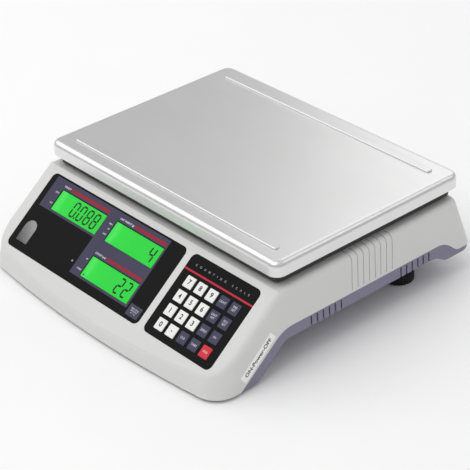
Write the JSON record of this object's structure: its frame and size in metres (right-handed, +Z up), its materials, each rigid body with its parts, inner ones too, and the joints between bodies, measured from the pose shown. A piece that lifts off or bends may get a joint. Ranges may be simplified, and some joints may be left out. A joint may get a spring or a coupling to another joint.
{
  "type": "counting scale",
  "caption": "Bench counting scale: sloping console with backlit displays and keypad, flat steel weighing pan with raised beads, levelling feet.",
  "frame": {"origin": "centre of the footprint, at table level under the four foot pads", "axes": "+Z up, +X to the operator's right, +Y from the operator towards the back of the scale"},
  "size_m": [0.3518, 0.3496, 0.1148],
  "materials": {
    "pan_steel": "fine satin",
    "cast_alloy": "black powder coat",
    "cell_alloy": "machined",
    "zinc_steel": "zinc plated",
    "black_rubber": "matte",
    "light_plastic": "fine textured",
    "slate_plastic": "fine textured",
    "black_overlay": "satin film",
    "lcd_green": "backlit liquid crystal display",
    "clear_plastic": "clear",
    "circuit_board": "solder mask",
    "cable_grey": "flexible",
    "smoked_lens": "smoked, polished",
    "battery_black": "plain",
    "black_plastic": "plain",
    "label_white": "paper film",
    "key_white": "satin",
    "key_slate": "satin",
    "key_red": "satin"
  },
  "bodies": {
    "root": {"load_cell": "cell_alloy", "mounting_plate": "zinc_steel", "cell_base_bolts": "zinc_steel", "overload_stop": "zinc_steel", "upper_housing": "light_plastic", "lower_housing": "slate_plastic", "case_screws": "zinc_steel", "display_overlay": "black_overlay", "keypad_overlay": "black_overlay", "lcd_weight": "lcd_green", "lcd_unit_weight": "lcd_green", "lcd_count": "lcd_green", "lcd_backlights": "clear_plastic", "display_board": "circuit_board", "keypad_board": "circuit_board", "key_domes": "zinc_steel", "main_board": "circuit_board", "board_screws": "zinc_steel", "ribbon_cable": "cable_grey", "level_window": "smoked_lens", "level_vial": "clear_plastic", "battery": "battery_black", "battery_cover": "slate_plastic", "switch_body": "black_plastic", "power_jack": "black_plastic", "foot_nuts": "zinc_steel", "switch_label": "label_white"},
    "platform": {"pan_support": "cast_alloy", "pan_cushions": "black_rubber", "cell_top_bolts": "zinc_steel"},
    "pan": {"weigh_pan": "pan_steel"},
    "rocker": {"power_rocker": "black_plastic"},
    "key_7": {"key_7": "key_white"},
    "key_8": {"key_8": "key_white"},
    "key_9": {"key_9": "key_white"},
    "function_key_1": {"function_key_1": "key_slate"},
    "function_key_2": {"function_key_2": "key_slate"},
    "key_4": {"key_4": "key_white"},
    "key_5": {"key_5": "key_white"},
    "key_6": {"key_6": "key_white"},
    "function_key_3": {"function_key_3": "key_slate"},
    "function_key_4": {"function_key_4": "key_slate"},
    "key_1": {"key_1": "key_white"},
    "key_2": {"key_2": "key_white"},
    "key_3": {"key_3": "key_white"},
    "function_key_5": {"function_key_5": "key_slate"},
    "function_key_6": {"function_key_6": "key_slate"},
    "key_0": {"key_0": "key_white"},
    "key_point": {"key_point": "key_white"},
    "function_key_7": {"function_key_7": "key_slate"},
    "function_key_8": {"function_key_8": "key_slate"},
    "red_key": {"red_key": "key_red"},
    "pad_front_left": {"foot_pad_front_left": "black_rubber"},
    "foot_front_left": {"foot_screw_front_left": "black_plastic"},
    "pad_front_right": {"foot_pad_front_right": "black_rubber"},
    "foot_front_right": {"foot_screw_front_right": "black_plastic"},
    "pad_rear_left": {"foot_pad_rear_left": "black_rubber"},
    "foot_rear_left": {"foot_screw_rear_left": "black_plastic"},
    "pad_rear_right": {"foot_pad_rear_right": "black_rubber"},
    "foot_rear_right": {"foot_screw_rear_right": "black_plastic"}
  },
  "joints": [
    {"name": "load_cell_deflection", "type": "slide", "parent": "root", "child": "platform", "axis": [0, 0, -1], "range_m": [0, 0.0008], "stiffness_N_per_m": 40000, "deforming": ["load_cell"]},
    {"name": "pan_lift", "type": "slide", "parent": "platform", "child": "pan", "axis": [0, 0, 1], "range_m": [0, 0.1]},
    {"name": "key_7_press", "type": "slide", "parent": "root", "child": "key_7", "axis": [0, 0.6252, -0.7804], "range_m": [0, 0.0005], "stiffness_N_per_m": 900},
    {"name": "key_8_press", "type": "slide", "parent": "root", "child": "key_8", "axis": [0, 0.6252, -0.7804], "range_m": [0, 0.0005], "stiffness_N_per_m": 900},
    {"name": "key_9_press", "type": "slide", "parent": "root", "child": "key_9", "axis": [0, 0.6252, -0.7804], "range_m": [0, 0.0005], "stiffness_N_per_m": 900},
    {"name": "function_key_1_press", "type": "slide", "parent": "root", "child": "function_key_1", "axis": [0, 0.6252, -0.7804], "range_m": [0, 0.0005], "stiffness_N_per_m": 900},
    {"name": "function_key_2_press", "type": "slide", "parent": "root", "child": "function_key_2", "axis": [0, 0.6252, -0.7804], "range_m": [0, 0.0005], "stiffness_N_per_m": 900},
    {"name": "key_4_press", "type": "slide", "parent": "root", "child": "key_4", "axis": [0, 0.6252, -0.7804], "range_m": [0, 0.0005], "stiffness_N_per_m": 900},
    {"name": "key_5_press", "type": "slide", "parent": "root", "child": "key_5", "axis": [0, 0.6252, -0.7804], "range_m": [0, 0.0005], "stiffness_N_per_m": 900},
    {"name": "key_6_press", "type": "slide", "parent": "root", "child": "key_6", "axis": [0, 0.6252, -0.7804], "range_m": [0, 0.0005], "stiffness_N_per_m": 900},
    {"name": "function_key_3_press", "type": "slide", "parent": "root", "child": "function_key_3", "axis": [0, 0.6252, -0.7804], "range_m": [0, 0.0005], "stiffness_N_per_m": 900},
    {"name": "function_key_4_press", "type": "slide", "parent": "root", "child": "function_key_4", "axis": [0, 0.6252, -0.7804], "range_m": [0, 0.0005], "stiffness_N_per_m": 900},
    {"name": "key_1_press", "type": "slide", "parent": "root", "child": "key_1", "axis": [0, 0.6252, -0.7804], "range_m": [0, 0.0005], "stiffness_N_per_m": 900},
    {"name": "key_2_press", "type": "slide", "parent": "root", "child": "key_2", "axis": [0, 0.6252, -0.7804], "range_m": [0, 0.0005], "stiffness_N_per_m": 900},
    {"name": "key_3_press", "type": "slide", "parent": "root", "child": "key_3", "axis": [0, 0.6252, -0.7804], "range_m": [0, 0.0005], "stiffness_N_per_m": 900},
    {"name": "function_key_5_press", "type": "slide", "parent": "root", "child": "function_key_5", "axis": [0, 0.6252, -0.7804], "range_m": [0, 0.0005], "stiffness_N_per_m": 900},
    {"name": "function_key_6_press", "type": "slide", "parent": "root", "child": "function_key_6", "axis": [0, 0.6252, -0.7804], "range_m": [0, 0.0005], "stiffness_N_per_m": 900},
    {"name": "key_0_press", "type": "slide", "parent": "root", "child": "key_0", "axis": [0, 0.6252, -0.7804], "range_m": [0, 0.0005], "stiffness_N_per_m": 900},
    {"name": "key_point_press", "type": "slide", "parent": "root", "child": "key_point", "axis": [0, 0.6252, -0.7804], "range_m": [0, 0.0005], "stiffness_N_per_m": 900},
    {"name": "function_key_7_press", "type": "slide", "parent": "root", "child": "function_key_7", "axis": [0, 0.6252, -0.7804], "range_m": [0, 0.0005], "stiffness_N_per_m": 900},
    {"name": "function_key_8_press", "type": "slide", "parent": "root", "child": "function_key_8", "axis": [0, 0.6252, -0.7804], "range_m": [0, 0.0005], "stiffness_N_per_m": 900},
    {"name": "red_key_press", "type": "slide", "parent": "root", "child": "red_key", "axis": [0, 0.6252, -0.7804], "range_m": [0, 0.0005], "stiffness_N_per_m": 900},
    {"name": "power_rocker_tilt", "type": "hinge", "parent": "root", "child": "rocker", "pos_m": [0.138, -0.0948, 0.01931], "axis": [0, -0.7754, -0.6315], "range_deg": [0, 18]},
    {"name": "front_left_foot_height", "type": "slide", "parent": "root", "child": "pad_front_left", "axis": [0, 0, -1], "range_m": [0, 0.006]},
    {"name": "front_left_foot_turn", "type": "hinge", "parent": "pad_front_left", "child": "foot_front_left", "pos_m": [-0.136, -0.138, 0.002], "axis": [0, 0, -1], "range_deg": [0, 1728]},
    {"name": "front_right_foot_height", "type": "slide", "parent": "root", "child": "pad_front_right", "axis": [0, 0, -1], "range_m": [0, 0.006]},
    {"name": "front_right_foot_turn", "type": "hinge", "parent": "pad_front_right", "child": "foot_front_right", "pos_m": [0.136, -0.138, 0.002], "axis": [0, 0, -1], "range_deg": [0, 1728]},
    {"name": "rear_left_foot_height", "type": "slide", "parent": "root", "child": "pad_rear_left", "axis": [0, 0, -1], "range_m": [0, 0.006]},
    {"name": "rear_left_foot_turn", "type": "hinge", "parent": "pad_rear_left", "child": "foot_rear_left", "pos_m": [-0.136, 0.109, 0.002], "axis": [0, 0, -1], "range_deg": [0, 1728]},
    {"name": "rear_right_foot_height", "type": "slide", "parent": "root", "child": "pad_rear_right", "axis": [0, 0, -1], "range_m": [0, 0.006]},
    {"name": "rear_right_foot_turn", "type": "hinge", "parent": "pad_rear_right", "child": "foot_rear_right", "pos_m": [0.136, 0.109, 0.002], "axis": [0, 0, -1], "range_deg": [0, 1728]}
  ],
  "couplings": [
    {"joint": "front_left_foot_turn", "follows": "front_left_foot_height", "rad_per_m": 5026.5},
    {"joint": "front_right_foot_turn", "follows": "front_right_foot_height", "rad_per_m": 5026.5},
    {"joint": "rear_left_foot_turn", "follows": "rear_left_foot_height", "rad_per_m": 5026.5},
    {"joint": "rear_right_foot_turn", "follows": "rear_right_foot_height", "rad_per_m": 5026.5}
  ]
}
